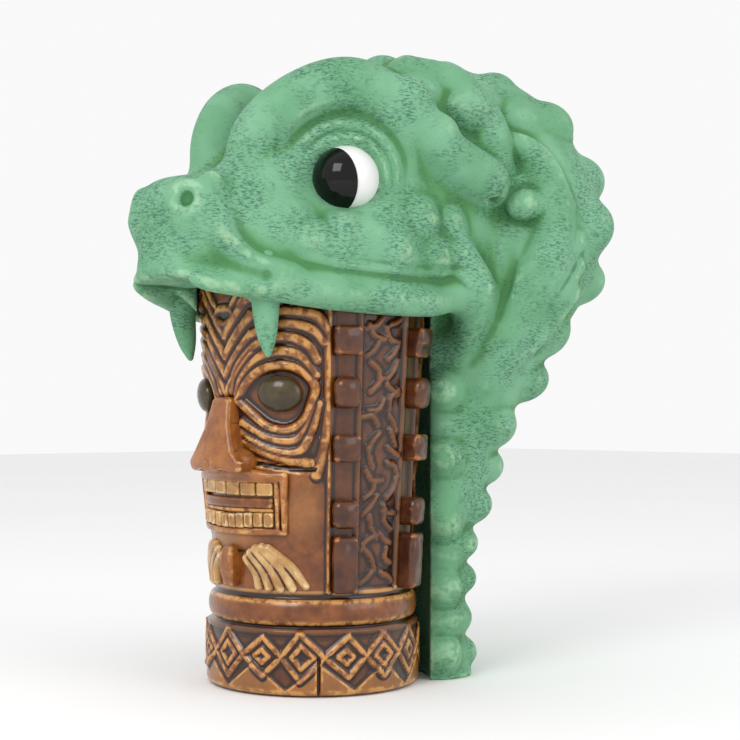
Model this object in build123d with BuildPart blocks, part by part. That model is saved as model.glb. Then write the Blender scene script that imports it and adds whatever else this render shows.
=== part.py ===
"""Tiki mug: a carved, tapered tumbler with applied ornaments, capped from behind by a rearing serpent.

The serpent stands behind the tumbler and its upper jaw caps the rim. It lifts straight up off the tumbler.
Frame: origin at the centre of the tumbler's foot, +Z up, the carved face and the serpent's snout towards -Y.
Lengths are millimetres. Angles round the tumbler are degrees from the face, positive towards +X.
"""

import math
import os

from build123d import *

os.makedirs("parts", exist_ok=True)

# ---- Tumbler ----
mug_height = 150.0
wall = 4.5
floor_thickness = 8.0
band_radius = 40.0  # the patterned band round the foot
band_height = 24.0
band_round = 3.0
ring_radius = 39.6  # the plain roll between band and wall
ring_height = 10.0
groove_depth = 2.6  # the grooves above and below the roll
groove_height = 1.2
wall_radius_low = 37.0  # outside, just above the roll
wall_radius_high = 43.0  # outside, at the rim
rim_round = 2.0
floor_round = 6.0
diamond_count = 16
diamond_width = 13.0
diamond_height = 15.0
diamond_depth = 1.2
diamond_middle = 12.5

# ---- Ornaments luted onto the tumbler ----
eye_angle = 33.0
eye_height = 108.5
eye_half_width = 8.4
eye_half_height = 6.6
eye_seat_depth = 1.5
eye_proud = 3.2
eye_shoulder_height = 1.44  # the eye keeps its full width up to here
eye_shoulder_share = 0.97  # its size there and at its crown, as shares of the seat
eye_crown_share = 0.45
nose_top = 107.0
nose_bottom = 81.0
nose_top_width = 10.0
nose_bottom_width = 25.0
nose_top_proud = 3.0
nose_bottom_proud = 10.0
nose_bottom_corner = 3.5
nose_top_corner = 2.0
embedding = 2.0  # how far an ornament's raw form starts inside the wall, before it is trimmed to it
mouth_top = 80.0
mouth_bottom = 58.5
mouth_half_angle = 36.0
mouth_border = 3.0
mouth_proud = 3.4
upper_teeth_bottom = 72.5
tongue_top = 71.5
tongue_bottom = 67.0
lower_teeth_top = 66.0
tooth_gap_angle = 1.2
teeth_proud = 2.6
upper_tooth_count = 6
lower_tooth_count = 10
chin_peg_width = 7.0
chin_peg_height = 16.0
chin_peg_proud = 4.5
chin_peg_centre = 46.5
chin_peg_round = 1.5
fan_near_angle = 9.0
fan_far_angle = 42.0
fan_bottom = 37.5
fan_top = 53.0
fan_rib_count = 5
fan_proud = 2.4
fan_rib_share = 0.82  # of the pitch, the rest is the gap
fan_last_rib = 4.0  # the height that the ribs fall towards
stud_angle = 67.0  # the straps lie this far from the face, and this far from the back
stud_width = 9.4
stud_proud = 5.0
stud_corner = 1.6
stud_outline_round = 3.0
stud_heights = (47.3, 65.5, 89.0, 109.0, 127.5)
stud_lengths = (21.0, 10.5, 9.8, 11.6, 11.4)

# ---- Serpent ----
running_gap = 0.4  # between the resting palate and the rim
side_gap = 2.6  # between the serpent and the widest plain part of the tumbler
lip_height = mug_height - 13.0  # the lower edge of the jaw beside the tumbler
lip_thickness = 5.5
lip_shoulder = 42.0  # how far the cheeks rise above the lip
snout_lip_height = mug_height - 6.0  # the lower edge of the jaw under the snout
snout_lip_back = -48.0  # where the snout's lip starts to drop towards the jaw's
jaw_lip_front = -22.0  # where it reaches the jaw's
jaw_corner = 24.0  # where the lip ends, behind the tumbler's axis
jaw_corner_slope = 10.0  # how much further back the cut behind the corner runs at its foot
jaw_cut_reach = 95.0  # far enough to pass the snout and the cheeks
jaw_cut_floor = mug_height - 90.0
mouth_arch_half_width = 16.0
mouth_arch_top = mug_height + 1.6
mouth_arch_depth = 40.0
mouth_arch_length = 60.0
mouth_arch_centre = -65.0
neck_split = mug_height - 72.0  # the joint between trunk and hood
eyeball_radius = 12.0
eyeball_centre = (33.0, -12.0, mug_height + 36.0)
iris_half_angle = 68.0
iris_thickness = 0.4
iris_dip = 9.5  # degrees that the gaze drops below level
socket_turn = math.radians(50.0)  # the eye socket opens this far outwards from straight ahead
socket_gap = 0.3
socket_depth = 30.0
fang_root = (22.5, 1.9, -4.0)  # x, how far ahead of the clearance round the tumbler, height above its rim
fang_tip = (21.0, -2.1, -28.5)
fang_root_radius = 4.9
fang_tip_radius = 1.2
fang_tip_round = 0.96
fang_embedding = 8.0  # how far the fang runs up inside the jaw
brow_radius = 9.0

# The brow's middle line as (x, y, height above the tumbler's rim).
brow_points = (
    (16.0, -46.0, 40.0),
    (26.0, -34.0, 62.0),
    (35.0, -10.0, 70.0),
    (42.0, 14.0, 55.0),
    (47.0, 46.0, 35.0),
)
# Head: sections across Y as (y, half width, underside, crown, corner radius), heights from the tumbler's rim.
head_sections = (
    (-80.0, 13.0, 2.0, 28.0, 12.0),
    (-66.0, 22.0, -6.0, 37.0, 18.0),
    (-46.0, 27.0, -11.0, 44.0, 21.0),
    (-24.0, 33.0, -16.0, 65.0, 24.0),
    (0.0, 39.0, -19.0, 80.0, 27.0),
    (24.0, 44.0, -20.0, 88.0, 31.0),
    (48.0, 46.0, -20.0, 90.0, 34.0),
    (70.0, 44.0, -14.0, 86.0, 32.0),
    (90.0, 36.0, 0.0, 75.0, 28.0),
)
# Trunk and hood: oval sections across Z as (z, centre y, half width, half thickness).
trunk_sections = (
    (0.0, 46.0, 38.0, 18.0),
    (12.0, 45.5, 34.0, 17.0),
    (neck_split - 38.0, 46.0, 34.0, 17.5),
    (neck_split, 53.0, 36.0, 21.0),
)
hood_sections = (
    (neck_split, 53.0, 36.0, 21.0),
    (neck_split + 28.0, 60.0, 44.0, 25.0),
    (neck_split + 58.0, 70.5, 56.0, 31.0),
    (neck_split + 92.0, 81.0, 65.0, 32.0),
    (neck_split + 122.0, 83.0, 55.0, 29.0),
    (neck_split + 144.0, 79.0, 42.0, 23.0),
)

wall_start = band_height + ring_height + 2 * groove_height
palate_height = mug_height + running_gap
clear_radius = max(wall_radius_high, ring_radius, band_radius) + side_gap


def wall_radius(z):
    """The tumbler's outside radius at height z, above the roll."""
    share = (z - wall_start) / (mug_height - wall_start)
    return wall_radius_low + share * (wall_radius_high - wall_radius_low)


def on_wall(angle, z, radius=None):
    """A plane that touches the wall: x runs round it towards +X, y is up and z points outwards."""
    reach = wall_radius(z) if radius is None else radius
    turn = math.radians(angle)
    out = (math.sin(turn), -math.cos(turn), 0)
    along = (math.cos(turn), math.sin(turn), 0)
    return Plane(origin=(reach * out[0], reach * out[1], z), x_dir=along, z_dir=out)


def mirrored(point):
    """The same point on the serpent's other side."""
    return (-point[0], point[1], point[2])


def save(piece, name):
    """Labels a finished sub-part and writes its STEP file."""
    piece.part.label = name
    export_step(piece.part, f"parts/{name}.step")


# ---- Shared solids that shape the others ----
with BuildPart() as wall_core:
    with BuildSketch(Plane.XZ):
        with BuildLine():
            Polyline(
                (0, wall_start - 1),
                (wall_radius(wall_start - 1), wall_start - 1),
                (wall_radius_high, mug_height),
                (0, mug_height),
                close=True,
            )
        make_face()
    revolve(axis=Axis.Z)

with BuildPart() as mug_clearance:
    with BuildSketch(Plane.XY.offset(-1)):
        Circle(clear_radius)
    extrude(amount=palate_height + 1)


# ---- Tumbler ----
def eye_seat(angle, depth):
    """The oval seat cut into the wall for an inlaid eye."""
    with BuildPart(mode=Mode.PRIVATE) as seat:
        with BuildSketch(on_wall(angle, eye_height).offset(-depth)):
            Ellipse(eye_half_width, eye_half_height)
        extrude(amount=depth + wall)
    return seat.part


with BuildPart() as tumbler:
    with BuildSketch(Plane.XZ):
        with BuildLine():
            groove_low = band_height + groove_height
            ring_top = groove_low + ring_height
            Line((0, 0), (band_radius - band_round, 0))
            RadiusArc((band_radius - band_round, 0), (band_radius, band_round), -band_round)
            Line((band_radius, band_round), (band_radius, band_height))
            Line((band_radius, band_height), (ring_radius - groove_depth, band_height))
            Line((ring_radius - groove_depth, band_height), (ring_radius - groove_depth, groove_low))
            ThreePointArc(
                (ring_radius - groove_depth, groove_low),
                (ring_radius, groove_low + ring_height / 2),
                (ring_radius - groove_depth, ring_top),
            )
            Line((ring_radius - groove_depth, ring_top), (wall_radius_low, wall_start))
            Line((wall_radius_low, wall_start), (wall_radius_high, mug_height))
            Line((wall_radius_high, mug_height), (wall_radius_high - wall, mug_height))
            Line((wall_radius_high - wall, mug_height), (wall_radius_low - wall, floor_thickness))
            Line((wall_radius_low - wall, floor_thickness), (0, floor_thickness))
            Line((0, floor_thickness), (0, 0))
        make_face()
    revolve(axis=Axis.Z)
    rim_edges = tumbler.edges().filter_by(GeomType.CIRCLE).group_by(Axis.Z)[-1]
    fillet(rim_edges, rim_round)
    floor_edge = (
        tumbler.edges()
        .filter_by(GeomType.CIRCLE)
        .filter_by(lambda edge: abs(edge.center().Z - floor_thickness) < 0.01)
    )
    fillet(floor_edge, floor_round)
    for index in range(diamond_count):
        diamond_plane = on_wall(360 * index / diamond_count, diamond_middle, band_radius - diamond_depth)
        with BuildSketch(diamond_plane):
            with BuildLine():
                Polyline(
                    (-diamond_width / 2, 0),
                    (0, -diamond_height / 2),
                    (diamond_width / 2, 0),
                    (0, diamond_height / 2),
                    close=True,
                )
            make_face()
        extrude(amount=2 * diamond_depth, mode=Mode.SUBTRACT)
    add(eye_seat(eye_angle, eye_seat_depth), mode=Mode.SUBTRACT)
    add(eye_seat(-eye_angle, eye_seat_depth), mode=Mode.SUBTRACT)
save(tumbler, "tumbler")


# ---- Inlaid eyes ----
def tiki_eye(angle):
    """An oval cabochon that fills its seat and domes out of the wall."""
    plane = on_wall(angle, eye_height)
    with BuildPart() as eye:
        with BuildSketch(plane.offset(-eye_seat_depth)):
            Ellipse(eye_half_width, eye_half_height)
        with BuildSketch(plane.offset(eye_shoulder_height)):
            Ellipse(eye_half_width * eye_shoulder_share, eye_half_height * eye_shoulder_share)
        with BuildSketch(plane.offset(eye_proud)):
            Ellipse(eye_half_width * eye_crown_share, eye_half_height * eye_crown_share)
        loft(ruled=True)
    return eye


save(tiki_eye(eye_angle), "tiki_eye_left")
save(tiki_eye(-eye_angle), "tiki_eye_right")

# ---- Nose ----
with BuildPart() as tiki_nose:
    with BuildSketch(Plane.XY.offset(nose_bottom)):
        with Locations((0, -(wall_radius(nose_bottom) + nose_bottom_proud / 2 - embedding))):
            RectangleRounded(nose_bottom_width, nose_bottom_proud + 2 * embedding, nose_bottom_corner)
    with BuildSketch(Plane.XY.offset(nose_top)):
        with Locations((0, -(wall_radius(nose_top) + nose_top_proud / 2 - embedding))):
            RectangleRounded(nose_top_width, nose_top_proud + 2 * embedding, nose_top_corner)
    loft()
    add(wall_core.part, mode=Mode.SUBTRACT)
save(tiki_nose, "tiki_nose")


# ---- Mouth: a frame, a bar for the tongue, and two rows of teeth ----
def wall_panel(start_angle, end_angle, bottom, top, proud):
    """A curved panel that lies on the wall between two angles and two heights."""
    reach = wall_radius_high * 2
    start, end = math.radians(start_angle), math.radians(end_angle)
    with BuildPart(mode=Mode.PRIVATE) as panel:
        with BuildSketch(Plane.XZ):
            with BuildLine():
                Polyline(
                    (wall_radius(bottom) - 1, bottom),
                    (wall_radius(bottom) + proud, bottom),
                    (wall_radius(top) + proud, top),
                    (wall_radius(top) - 1, top),
                    close=True,
                )
            make_face()
        revolve(axis=Axis.Z)
        with BuildSketch(Plane.XY.offset(bottom - 1)):
            with BuildLine():
                Polyline(
                    (0, 0),
                    (reach * math.sin(start), -reach * math.cos(start)),
                    (reach * math.sin(end), -reach * math.cos(end)),
                    close=True,
                )
            make_face()
        extrude(amount=top - bottom + 2, mode=Mode.INTERSECT)
        add(wall_core.part, mode=Mode.SUBTRACT)
    return panel.part


inner_angle = mouth_half_angle - math.degrees(mouth_border / wall_radius(mouth_top))
with BuildPart() as mouth_frame:
    outer_bottom = mouth_bottom - mouth_border / 2
    add(wall_panel(-mouth_half_angle, mouth_half_angle, outer_bottom, mouth_top, mouth_proud))
    add(
        wall_panel(-inner_angle, inner_angle, mouth_bottom, mouth_top - mouth_border, mouth_proud + 1),
        mode=Mode.SUBTRACT,
    )
save(mouth_frame, "mouth_frame")


def tooth_row(count, bottom, top):
    """A row of separate teeth that fills the mouth's width."""
    pitch = 2 * (inner_angle - tooth_gap_angle) / count
    with BuildPart() as row:
        for index in range(count):
            start = -inner_angle + tooth_gap_angle + index * pitch
            end = start + pitch - tooth_gap_angle / 2
            add(wall_panel(start + tooth_gap_angle / 2, end, bottom, top, teeth_proud))
    return row


save(tooth_row(upper_tooth_count, upper_teeth_bottom, mouth_top - mouth_border - 0.3), "upper_teeth")
save(tooth_row(lower_tooth_count, mouth_bottom + 0.3, lower_teeth_top), "lower_teeth")

with BuildPart() as tongue_bar:
    add(wall_panel(-inner_angle + 1, inner_angle - 1, tongue_bottom, tongue_top, teeth_proud))
save(tongue_bar, "tongue_bar")

# ---- Chin: a peg between two fans of ribs ----
with BuildPart() as chin_peg:
    with BuildSketch(on_wall(0, chin_peg_centre, wall_radius_low - embedding)):
        SlotOverall(chin_peg_height, chin_peg_width, rotation=90)
    extrude(amount=chin_peg_proud + embedding)
    fillet(chin_peg.faces().sort_by(Axis.Y)[0].edges(), chin_peg_round)
    add(wall_core.part, mode=Mode.SUBTRACT)
save(chin_peg, "chin_peg")


def beard_fan(side):
    """Ribs that spread from beside the chin peg, each a separate solid, longest next to the peg."""
    pitch = (fan_far_angle - fan_near_angle) / fan_rib_count
    with BuildPart() as fan:
        for index in range(fan_rib_count):
            low_angle = fan_near_angle + index * pitch
            high_angle = low_angle + pitch * fan_rib_share
            top = fan_top - (fan_top - fan_bottom - fan_last_rib) * index / fan_rib_count
            start, end = sorted((side * low_angle, side * high_angle))
            add(wall_panel(start, end, fan_bottom, top, fan_proud))
    return fan


save(beard_fan(1), "beard_fan_left")
save(beard_fan(-1), "beard_fan_right")


# ---- Straps of studs ----
def stud(angle, z, length):
    """One block with a rounded outline and a softened outer face, standing on the wall."""
    with BuildPart(mode=Mode.PRIVATE) as block:
        with BuildSketch(on_wall(angle, z, wall_radius(z) - embedding)):
            RectangleRounded(stud_width, length, stud_outline_round)
        extrude(amount=stud_proud + embedding)
        outer_face = max(block.faces(), key=lambda face: math.hypot(face.center().X, face.center().Y))
        fillet(outer_face.edges(), stud_corner)
        add(wall_core.part, mode=Mode.SUBTRACT)
    return block.part


def stud_column(angle):
    """Five studs, one above another: a long one at the foot and four short ones."""
    with BuildPart() as column:
        for z, length in zip(stud_heights, stud_lengths):
            add(stud(angle, z, length))
    return column


save(stud_column(stud_angle), "studs_front_left")
save(stud_column(-stud_angle), "studs_front_right")
save(stud_column(180 - stud_angle), "studs_back_left")
save(stud_column(stud_angle - 180), "studs_back_right")


# ---- Serpent: trunk and hood ----
def stacked(sections):
    """A body lofted through oval sections across Z."""
    with BuildPart(mode=Mode.PRIVATE) as body:
        for z, centre_y, half_width, half_thickness in sections:
            with BuildSketch(Plane.XY.offset(z)):
                with Locations((0, centre_y)):
                    Ellipse(half_width, half_thickness)
        loft()
    return body.part


with BuildPart() as serpent_trunk:
    add(stacked(trunk_sections))
    add(mug_clearance.part, mode=Mode.SUBTRACT)
save(serpent_trunk, "serpent_trunk")

# ---- Serpent: head ----
with BuildPart() as head_form:
    for y, half_width, underside, crown, corner in head_sections:
        middle = mug_height + (underside + crown) / 2
        with BuildSketch(Plane(origin=(0, y, middle), x_dir=(1, 0, 0), z_dir=(0, 1, 0))):
            RectangleRounded(2 * half_width, crown - underside, corner)
    loft()
    with BuildSketch(Plane.XZ):
        with BuildLine():
            lip_radius = clear_radius + lip_thickness
            Line((0, lip_height), (lip_radius, lip_height))
            Line((lip_radius, lip_height), (lip_radius, palate_height))
            EllipticalCenterArc((0, palate_height), lip_radius, lip_shoulder, start_angle=0, arc_size=90)
            Line((0, palate_height + lip_shoulder), (0, lip_height))
        make_face()
    revolve(axis=Axis.Z)
    add(mug_clearance.part, mode=Mode.SUBTRACT)
    with BuildSketch(Plane.YZ.offset(-jaw_cut_reach)):
        with BuildLine():
            Polyline(
                (-jaw_cut_reach, jaw_cut_floor),
                (-jaw_cut_reach, snout_lip_height),
                (snout_lip_back, snout_lip_height),
                (jaw_lip_front, lip_height),
                (jaw_corner, lip_height),
                (jaw_corner + jaw_corner_slope, jaw_cut_floor),
                close=True,
            )
        make_face()
    extrude(amount=2 * jaw_cut_reach, mode=Mode.SUBTRACT)
    with Locations((0, mouth_arch_centre, mouth_arch_top - mouth_arch_depth / 2)):
        Box(2 * mouth_arch_half_width, mouth_arch_length, mouth_arch_depth, mode=Mode.SUBTRACT)

with BuildPart() as serpent_hood:
    add(stacked(hood_sections))
    add(mug_clearance.part, mode=Mode.SUBTRACT)
    add(head_form.part, mode=Mode.SUBTRACT)
save(serpent_hood, "serpent_hood")

with BuildPart() as serpent_head:
    add(head_form.part)
    for centre in (eyeball_centre, mirrored(eyeball_centre)):
        outward = Vector(math.copysign(math.sin(socket_turn), centre[0]), -math.cos(socket_turn), 0)
        with Locations(centre):
            Sphere(eyeball_radius, mode=Mode.SUBTRACT)
        with BuildSketch(Plane(origin=centre, z_dir=outward)):
            Circle(eyeball_radius + iris_thickness + socket_gap)
        extrude(amount=socket_depth, mode=Mode.SUBTRACT)
save(serpent_head, "serpent_head")


# ---- Serpent: eyes ----
gaze = Vector(0, -math.cos(math.radians(iris_dip)), -math.sin(math.radians(iris_dip)))


def eyeball(centre):
    """A plain ball that fills its socket."""
    with BuildPart() as ball:
        with Locations(centre):
            Sphere(eyeball_radius)
    return ball


def iris(centre):
    """A thin domed cap on the front of an eyeball, clear of the head."""
    cap_radius = eyeball_radius + iris_thickness
    with BuildPart() as cap:
        with Locations(centre):
            Sphere(cap_radius)
        cut_distance = cap_radius * math.cos(math.radians(iris_half_angle))
        cut = Plane(origin=Vector(*centre) + gaze * cut_distance, z_dir=gaze)
        split(bisect_by=cut, keep=Keep.TOP)
        with Locations(centre):
            Sphere(eyeball_radius, mode=Mode.SUBTRACT)
        add(serpent_head.part, mode=Mode.SUBTRACT)
    return cap


save(eyeball(eyeball_centre), "eyeball_left")
save(eyeball(mirrored(eyeball_centre)), "eyeball_right")
save(iris(eyeball_centre), "iris_left")
save(iris(mirrored(eyeball_centre)), "iris_right")


# ---- Serpent: fangs ----
def fang(side):
    """A fang that tapers from the jaw and leans back towards the tumbler."""
    root_x, root_ahead, root_rise = fang_root
    tip_x, tip_ahead, tip_rise = fang_tip
    root = Vector(side * root_x, -clear_radius - root_ahead, mug_height + root_rise + fang_embedding)
    tip = Vector(side * tip_x, -clear_radius - tip_ahead, mug_height + tip_rise)
    lean = (tip - root).normalized()
    with BuildPart() as tooth:
        with BuildSketch(Plane(origin=root, z_dir=lean)):
            Circle(fang_root_radius)
        with BuildSketch(Plane(origin=root + lean * ((tip - root).length - fang_tip_radius), z_dir=lean)):
            Circle(fang_tip_radius)
        loft()
        fillet(tooth.faces().sort_by(Axis.Z)[0].edges(), fang_tip_round)
        add(serpent_head.part, mode=Mode.SUBTRACT)
        add(mug_clearance.part, mode=Mode.SUBTRACT)
    return tooth


save(fang(1), "fang_left")
save(fang(-1), "fang_right")


# ---- Serpent: brows ----
def brow(side):
    """A thick ridge that arches over the eye and runs back to the hood."""
    with BuildPart() as ridge:
        with BuildLine() as arch:
            Spline(*[(side * x, y, mug_height + rise) for x, y, rise in brow_points])
        with BuildSketch(Plane(origin=arch.line @ 0, z_dir=arch.line % 0)):
            Circle(brow_radius)
        sweep()
        add(head_form.part, mode=Mode.SUBTRACT)
        add(serpent_hood.part, mode=Mode.SUBTRACT)
        with Locations((side * eyeball_centre[0], eyeball_centre[1], eyeball_centre[2])):
            Sphere(eyeball_radius + iris_thickness + socket_gap, mode=Mode.SUBTRACT)
    return ridge


save(brow(1), "brow_left")
save(brow(-1), "brow_right")
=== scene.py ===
"""Tiki mug: the carved tumbler and the serpent that caps it, modelled and shaded round the CAD frame.

Shapes are worked out in millimetres in the CAD frame and scaled to metres when the meshes are made.
The serpent is one block of clay (a distance field) that is cut into its pieces along its creases.
The tumbler's carving is a height map wrapped round its wall.
"""
import math
from functools import partial

import bpy
import numpy as np
import openvdb
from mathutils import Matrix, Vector


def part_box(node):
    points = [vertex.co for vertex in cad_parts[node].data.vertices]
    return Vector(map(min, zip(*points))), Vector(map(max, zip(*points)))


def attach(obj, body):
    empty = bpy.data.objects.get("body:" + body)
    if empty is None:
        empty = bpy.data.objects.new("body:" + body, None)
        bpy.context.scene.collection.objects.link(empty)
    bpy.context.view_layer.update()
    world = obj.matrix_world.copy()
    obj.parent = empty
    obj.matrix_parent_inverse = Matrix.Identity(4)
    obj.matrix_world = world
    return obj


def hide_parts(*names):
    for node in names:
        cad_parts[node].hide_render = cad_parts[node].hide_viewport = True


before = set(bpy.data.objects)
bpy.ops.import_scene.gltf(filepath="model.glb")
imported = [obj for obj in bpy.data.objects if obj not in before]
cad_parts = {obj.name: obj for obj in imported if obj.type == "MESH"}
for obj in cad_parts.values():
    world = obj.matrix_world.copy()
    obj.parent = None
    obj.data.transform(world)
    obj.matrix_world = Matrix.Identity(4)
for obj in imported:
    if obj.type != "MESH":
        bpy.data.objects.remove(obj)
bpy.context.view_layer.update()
METRE = 0.001  # metres in a millimetre
MUG = "mug"
SERPENT = "serpent"
FAR = 99.0  # a distance beyond every shape, in millimetres


def cad(node):
    """The lowest and highest corner of a CAD node, in millimetres."""
    low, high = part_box(node)
    return np.array(low) / METRE, np.array(high) / METRE


# ---- Paths and distance shapes ----
def smooth_path(points, steps=6):
    """Rows along a smooth curve through the given rows; a 4th column, a radius, is carried along."""
    rows = np.asarray(points, float)
    padded = np.vstack([2 * rows[0] - rows[1], rows, 2 * rows[-1] - rows[-2]])
    out = []
    for index in range(len(rows) - 1):
        before, start, end, after = padded[index:index + 4]
        for t in np.arange(steps) / steps:
            out.append(0.5 * (
                2 * start + (end - before) * t
                + (2 * before - 5 * start + 4 * end - after) * t ** 2
                + (3 * start - before - 3 * end + after) * t ** 3
            ))
    out.append(rows[-1])
    return np.array(out)


def soft_min(a, b, blend):
    """The lesser of two distances, with the crease between them filled over that width."""
    if blend <= 0:
        return np.minimum(a, b)
    near = np.maximum(blend - np.abs(a - b), 0) / blend
    return np.minimum(a, b) - near * near * blend * 0.25


def ball(centre, radii):
    """A ball or an egg: (distance function, lowest corner, highest corner)."""
    centre = np.asarray(centre, np.float32)
    radii = np.broadcast_to(np.asarray(radii, np.float32), (3,))

    def distance(x, y, z):
        dx, dy, dz = x - centre[0], y - centre[1], z - centre[2]
        outer = np.sqrt((dx / radii[0]) ** 2 + (dy / radii[1]) ** 2 + (dz / radii[2]) ** 2)
        slope = np.sqrt((dx / radii[0] ** 2) ** 2 + (dy / radii[1] ** 2) ** 2 + (dz / radii[2] ** 2) ** 2)
        return outer * (outer - 1) / np.maximum(slope, 1e-6)

    return distance, centre - radii, centre + radii


def tube(rows):
    """A round tube along rows of (x, y, z, radius)."""
    rows = np.asarray(rows, np.float32)

    def distance(x, y, z):
        nearest = None
        for start, end in zip(rows[:-1], rows[1:]):
            run = end[:3] - start[:3]
            dx, dy, dz = x - start[0], y - start[1], z - start[2]
            t = np.clip((dx * run[0] + dy * run[1] + dz * run[2]) / max(float(run @ run), 1e-9), 0, 1)
            gap = np.sqrt((dx - t * run[0]) ** 2 + (dy - t * run[1]) ** 2 + (dz - t * run[2]) ** 2)
            gap = gap - (start[3] + t * (end[3] - start[3]))
            nearest = gap if nearest is None else np.minimum(nearest, gap)
        return nearest

    reach = rows[:, 3:4]
    return distance, (rows[:, :3] - reach).min(axis=0), (rows[:, :3] + reach).max(axis=0)


def stack(rows, power, upright=True):
    """A body through oval sections, stacked along Z or, when it isn't upright, along Y.

    Each row is (place along the stack, offset, half width, half depth). A power above 2 squares the ovals.
    """
    rows = smooth_path(rows, steps=8)
    levels, offset, half_width, half_depth = rows.T.astype(np.float32)

    def distance(x, y, z):
        along, across = (z, y) if upright else (y, z)
        middle = np.interp(along, levels, offset).astype(np.float32)
        a = np.interp(along, levels, half_width).astype(np.float32)
        b = np.interp(along, levels, half_depth).astype(np.float32)
        dx, dy = np.abs(x) / a, np.abs(across - middle) / b
        outer = (dx ** power + dy ** power) ** (1 / power)
        slope = np.sqrt((dx ** (power - 1) / a) ** 2 + (dy ** (power - 1) / b) ** 2)
        side = (outer - 1) * np.maximum(outer, 1e-3) ** (power - 1) / np.maximum(slope, 1e-4)
        ends = np.maximum(levels[0] - along, along - levels[-1])
        return np.maximum(side, ends)

    low = [-half_width.max(), (offset - half_depth).min(), levels[0]]
    high = [half_width.max(), (offset + half_depth).max(), levels[-1]]
    if not upright:
        low[1], low[2] = low[2], low[1]
        high[1], high[2] = high[2], high[1]
    return distance, np.array(low), np.array(high)


def below(axis, limit, low, high):
    """The part of a box below a limit along one axis: 0 for x, 1 for y, 2 for z."""
    return (lambda *place: place[axis] - limit), np.array(low), np.array(high)


MARGIN = 4  # a shape's distances are worked out this far beyond it and its blend
RAY_LENGTH, RAY_STEP = 130, 0.5


class Clay:
    """A block of space on a regular grid that holds distances, negative inside the clay."""

    def __init__(self, low, high, step):
        self.step = step
        self.axes = [np.arange(a, b + step, step, dtype=np.float32) for a, b in zip(low, high)]
        self.field = np.full([len(axis) for axis in self.axes], FAR, np.float32)

    def window(self, low, high, margin):
        """The part of the grid round a shape, and its three open coordinate arrays."""
        cut = tuple(
            slice(np.searchsorted(axis, a - margin), np.searchsorted(axis, b + margin))
            for axis, a, b in zip(self.axes, low, high)
        )
        x, y, z = (axis[part] for axis, part in zip(self.axes, cut))
        return cut, x[:, None, None], y[None, :, None], z[None, None, :]

    def add(self, shape, blend=0.0):
        """Joins a shape on, with the crease filled over the blend."""
        cut, x, y, z = self.window(shape[1], shape[2], blend + MARGIN)
        self.field[cut] = soft_min(self.field[cut], shape[0](x, y, z), blend)

    def carve(self, shape, blend=0.0):
        """Cuts a shape away, with the edge rounded over the blend."""
        cut, x, y, z = self.window(shape[1], shape[2], blend + MARGIN)
        self.field[cut] = -soft_min(-self.field[cut], shape[0](x, y, z), blend)

    def reach(self, start, direction):
        """The last place along a ray that is inside the clay."""
        steps = np.arange(0, RAY_LENGTH, RAY_STEP)[:, None]
        path = np.asarray(start) + steps * np.asarray(direction)
        cells = []
        for places, axis in zip(path.T, self.axes):
            nearest = np.rint((places - axis[0]) / self.step).astype(int)
            cells.append(np.clip(nearest, 0, len(axis) - 1))
        inside = self.field[tuple(cells)] < 0
        return path[np.flatnonzero(inside)[-1]] if inside.any() else np.asarray(start, float)

    def soften(self, rounds):
        """Averages the field with its neighbours along each axis."""
        for _ in range(rounds):
            for axis in range(3):
                field = np.moveaxis(self.field, axis, 0)
                beyond = np.concatenate([field[:1], field, field[-1:]])
                field[:] = 0.5 * field + 0.25 * (beyond[:-2] + beyond[2:])

    def shift(self, low, high, change):
        """Raises the surface inside a box by change(x, y, z) millimetres."""
        cut, x, y, z = self.window(low, high, 0)
        self.field[cut] -= change(x, y, z)


def surface(field, low, step):
    """Vertices and quads of a distance field's surface."""
    limit = 4 * step  # distances beyond this don't touch the surface
    grid = openvdb.FloatGrid(background=limit)
    grid.copyFromArray(np.clip(field, -limit, limit))
    points, quads = grid.convertToQuads(isovalue=0.0)
    return points * step + np.asarray(low, np.float32), quads


def new_mesh(name, points, faces):
    """A smooth-shaded mesh from millimetres and rows of four corners; a triangle repeats its last corner."""
    triangles = faces[:, 2] == faces[:, 3]
    sizes = np.where(triangles, 3, 4)
    keep = np.ones(faces.shape, bool)
    keep[triangles, 3] = False
    corners = faces[keep]
    mesh = bpy.data.meshes.new(name)
    mesh.vertices.add(len(points))
    mesh.vertices.foreach_set("co", (np.asarray(points, np.float32) * METRE).ravel())
    mesh.loops.add(len(corners))
    mesh.loops.foreach_set("vertex_index", corners.astype(np.int32))
    mesh.polygons.add(len(faces))
    mesh.polygons.foreach_set("loop_start", np.concatenate([[0], np.cumsum(sizes)[:-1]]).astype(np.int32))
    mesh.update(calc_edges=True)
    mesh.shade_smooth()
    return mesh


RING_SIDES = 24


def ring(centre, facing, radius, thickness):
    """Rows of a round tube that closes into a ring square to facing."""
    facing = np.asarray(facing, float) / np.linalg.norm(facing)
    side = np.cross(facing, (0, 0, 1))
    side /= np.linalg.norm(side)
    rise = np.cross(side, facing)
    turns = np.linspace(0, 2 * math.pi, RING_SIDES + 1)[:, None]
    places = np.asarray(centre) + radius * (np.cos(turns) * side + np.sin(turns) * rise)
    return np.hstack([places, np.full(turns.shape, thickness)])


def place_mesh(mesh, body, node, material):
    """Adds a mesh to the object, riding on its body and standing for its CAD node."""
    piece = bpy.data.objects.new(mesh.name, mesh)
    bpy.context.scene.collection.objects.link(piece)
    mesh.materials.append(material)
    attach(piece, body)
    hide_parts(node)


def relaxed(edges, values, rounds):
    """Values on the vertices, averaged with their neighbours that many times."""
    a, b = edges
    count = len(values)
    degree = np.maximum(np.bincount(a, minlength=count) + np.bincount(b, minlength=count), 1)[:, None]
    for _ in range(rounds):
        total = np.stack([
            np.bincount(a, column[b], count) + np.bincount(b, column[a], count) for column in values.T
        ], axis=1)
        values = 0.5 * values + 0.5 * total / degree
    return values


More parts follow.
